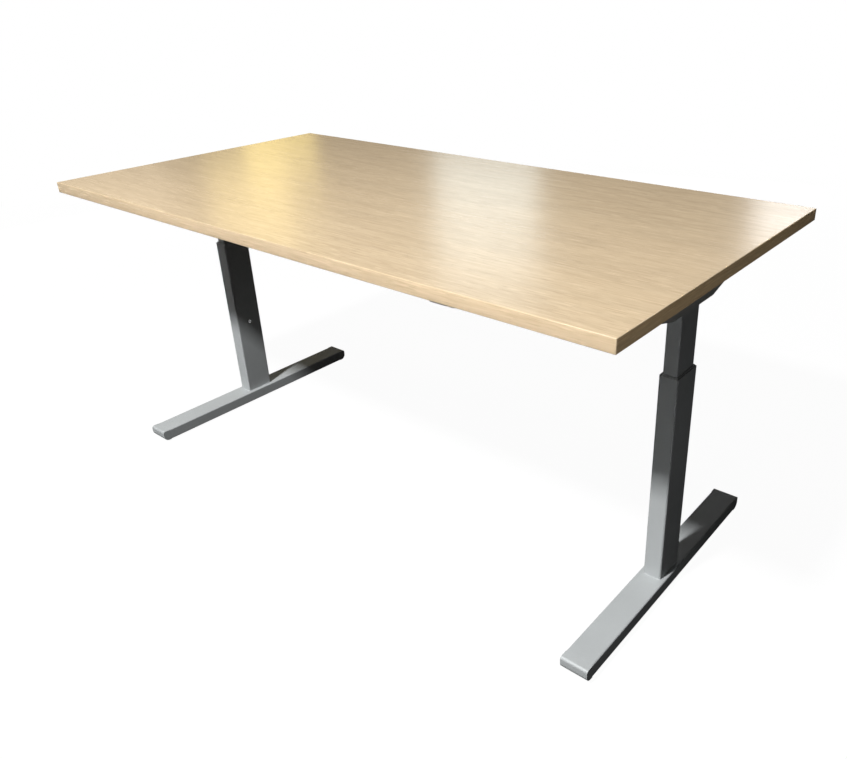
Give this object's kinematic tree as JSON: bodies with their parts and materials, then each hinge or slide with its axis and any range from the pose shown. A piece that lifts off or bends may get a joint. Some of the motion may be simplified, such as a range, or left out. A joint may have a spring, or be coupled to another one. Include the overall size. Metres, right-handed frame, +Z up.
{
  "type": "height adjustable standing desk",
  "caption": "Sit-stand desk with a rectangular wood-look top on two motor-driven telescopic columns with T-feet and a hand switch.",
  "frame": {"origin": "on the floor under the middle of the tabletop", "axes": "+X to the user's right along the top, +Y from the user towards the back, +Z up"},
  "size_m": [1.6, 0.8, 0.745],
  "materials": {
    "silver_paint": "silver-grey satin powder coat",
    "oak_laminate": "light oak laminate on particle board, satin",
    "oak_edge": "light oak edge banding, satin",
    "black_plastic": "moulded, fine texture",
    "zinc_steel": "zinc plated",
    "bright_steel": "rolled and greased",
    "bronze": "machined",
    "natural_nylon": "moulded nylon",
    "cast_housing": "die cast",
    "motor_can": "black enamel",
    "circuit_board": "solder mask",
    "collar_grey": "moulded, silver grey",
    "handset_grey": "moulded, fine texture",
    "button_black": "moulded keycap",
    "lead_black": "matt sheath",
    "clip_white": "moulded nylon"
  },
  "bodies": {
    "left_base": {"left_foot": "silver_paint", "left_foot_caps": "silver_paint", "left_outer_column": "silver_paint", "left_lower_collar": "collar_grey", "left_riser_tube": "zinc_steel", "left_lower_nut": "bronze", "left_base_screws": "zinc_steel"},
    "left_front_glide": {"left_front_glide": "black_plastic"},
    "left_rear_glide": {"left_rear_glide": "black_plastic"},
    "left_stage": {"left_middle_column": "silver_paint", "left_upper_collar": "collar_grey", "left_middle_pads": "natural_nylon", "left_push_tube": "zinc_steel"},
    "left_hollow_screw": {"left_hollow_spindle": "bright_steel"},
    "left_screw": {"left_spindle": "bright_steel", "left_worm_wheel": "bronze"},
    "left_worm": {"left_worm_shaft": "bright_steel"},
    "desk_top": {"left_thrust_bearing": "zinc_steel", "left_inner_column": "silver_paint", "left_inner_pads": "natural_nylon", "left_gearbox": "cast_housing", "left_motor": "motor_can", "left_side_bracket": "silver_paint", "right_thrust_bearing": "zinc_steel", "right_inner_column": "silver_paint", "right_inner_pads": "natural_nylon", "right_gearbox": "cast_housing", "right_motor": "motor_can", "right_side_bracket": "silver_paint", "tabletop_board": "oak_laminate", "edge_bands": "oak_edge", "crossbeam_rails": "silver_paint", "frame_bolts": "zinc_steel", "tabletop_screws": "zinc_steel", "control_box": "black_plastic", "control_box_lid": "black_plastic", "control_board": "circuit_board", "mains_inlet": "black_plastic", "handset_housing": "handset_grey", "control_leads": "lead_black", "cable_clips": "clip_white"},
    "up_button": {"up_button": "button_black"},
    "down_button": {"down_button": "button_black"},
    "right_base": {"right_foot": "silver_paint", "right_foot_caps": "silver_paint", "right_outer_column": "silver_paint", "right_lower_collar": "collar_grey", "right_riser_tube": "zinc_steel", "right_lower_nut": "bronze", "right_base_screws": "zinc_steel"},
    "right_front_glide": {"right_front_glide": "black_plastic"},
    "right_rear_glide": {"right_rear_glide": "black_plastic"},
    "right_stage": {"right_middle_column": "silver_paint", "right_upper_collar": "collar_grey", "right_middle_pads": "natural_nylon", "right_push_tube": "zinc_steel"},
    "right_hollow_screw": {"right_hollow_spindle": "bright_steel"},
    "right_screw": {"right_spindle": "bright_steel", "right_worm_wheel": "bronze"},
    "right_worm": {"right_worm_shaft": "bright_steel"}
  },
  "joints": [
    {"name": "lower_lift", "type": "slide", "parent": "left_base", "child": "left_stage", "axis": [0, 0, 1], "range_m": [0, 0.3]},
    {"name": "upper_lift", "type": "slide", "parent": "left_stage", "child": "desk_top", "axis": [0, 0, 1], "range_m": [-0.125, 0.225]},
    {"name": "right_upper_lift", "type": "slide", "parent": "desk_top", "child": "right_stage", "axis": [0, 0, -1], "range_m": [-0.125, 0.225]},
    {"name": "right_lower_lift", "type": "slide", "parent": "right_stage", "child": "right_base", "axis": [0, 0, -1], "range_m": [0, 0.3]},
    {"name": "left_hollow_screw_turn", "type": "hinge", "parent": "left_stage", "child": "left_hollow_screw", "pos_m": [-0.71, 0, 0.4], "axis": [0, 0, 1], "range_deg": [-2, 9003]},
    {"name": "left_screw_turn", "type": "hinge", "parent": "desk_top", "child": "left_screw", "pos_m": [-0.71, 0, 0.6], "axis": [0, 0, 1], "range_deg": [-3753, 6753]},
    {"name": "left_worm_turn", "type": "hinge", "parent": "desk_top", "child": "left_worm", "pos_m": [-0.71, 0.017, 0.669], "axis": [1, 0, 0], "range_deg": [-22503, 40503]},
    {"name": "left_front_glide_screw", "type": "slide", "parent": "left_base", "child": "left_front_glide", "axis": [0, 0, -1], "range_m": [0, 0.01]},
    {"name": "left_rear_glide_screw", "type": "slide", "parent": "left_base", "child": "left_rear_glide", "axis": [0, 0, -1], "range_m": [0, 0.01]},
    {"name": "right_hollow_screw_turn", "type": "hinge", "parent": "right_stage", "child": "right_hollow_screw", "pos_m": [0.71, 0, 0.4], "axis": [0, 0, 1], "range_deg": [-2, 9003]},
    {"name": "right_screw_turn", "type": "hinge", "parent": "desk_top", "child": "right_screw", "pos_m": [0.71, 0, 0.6], "axis": [0, 0, 1], "range_deg": [-3753, 6753]},
    {"name": "right_worm_turn", "type": "hinge", "parent": "desk_top", "child": "right_worm", "pos_m": [0.71, 0.017, 0.669], "axis": [1, 0, 0], "range_deg": [-22503, 40503]},
    {"name": "right_front_glide_screw", "type": "slide", "parent": "right_base", "child": "right_front_glide", "axis": [0, 0, -1], "range_m": [0, 0.01]},
    {"name": "right_rear_glide_screw", "type": "slide", "parent": "right_base", "child": "right_rear_glide", "axis": [0, 0, -1], "range_m": [0, 0.01]},
    {"name": "up_press", "type": "slide", "parent": "desk_top", "child": "up_button", "axis": [0, 1, 0], "range_m": [0, 0.0015], "stiffness_N_per_m": 700, "springref_m": -0.002},
    {"name": "down_press", "type": "slide", "parent": "desk_top", "child": "down_button", "axis": [0, 1, 0], "range_m": [0, 0.0015], "stiffness_N_per_m": 700, "springref_m": -0.002}
  ],
  "couplings": [
    {"joint": "right_upper_lift", "follows": "upper_lift", "ratio": 1},
    {"joint": "right_lower_lift", "follows": "lower_lift", "ratio": 1},
    {"joint": "left_hollow_screw_turn", "follows": "lower_lift", "rad_per_m": 523.6},
    {"joint": "left_screw_turn", "follows": "upper_lift", "rad_per_m": 523.6},
    {"joint": "left_worm_turn", "follows": "upper_lift", "rad_per_m": 3141.6},
    {"joint": "right_hollow_screw_turn", "follows": "lower_lift", "rad_per_m": 523.6},
    {"joint": "right_screw_turn", "follows": "upper_lift", "rad_per_m": 523.6},
    {"joint": "right_worm_turn", "follows": "upper_lift", "rad_per_m": 3141.6}
  ]
}
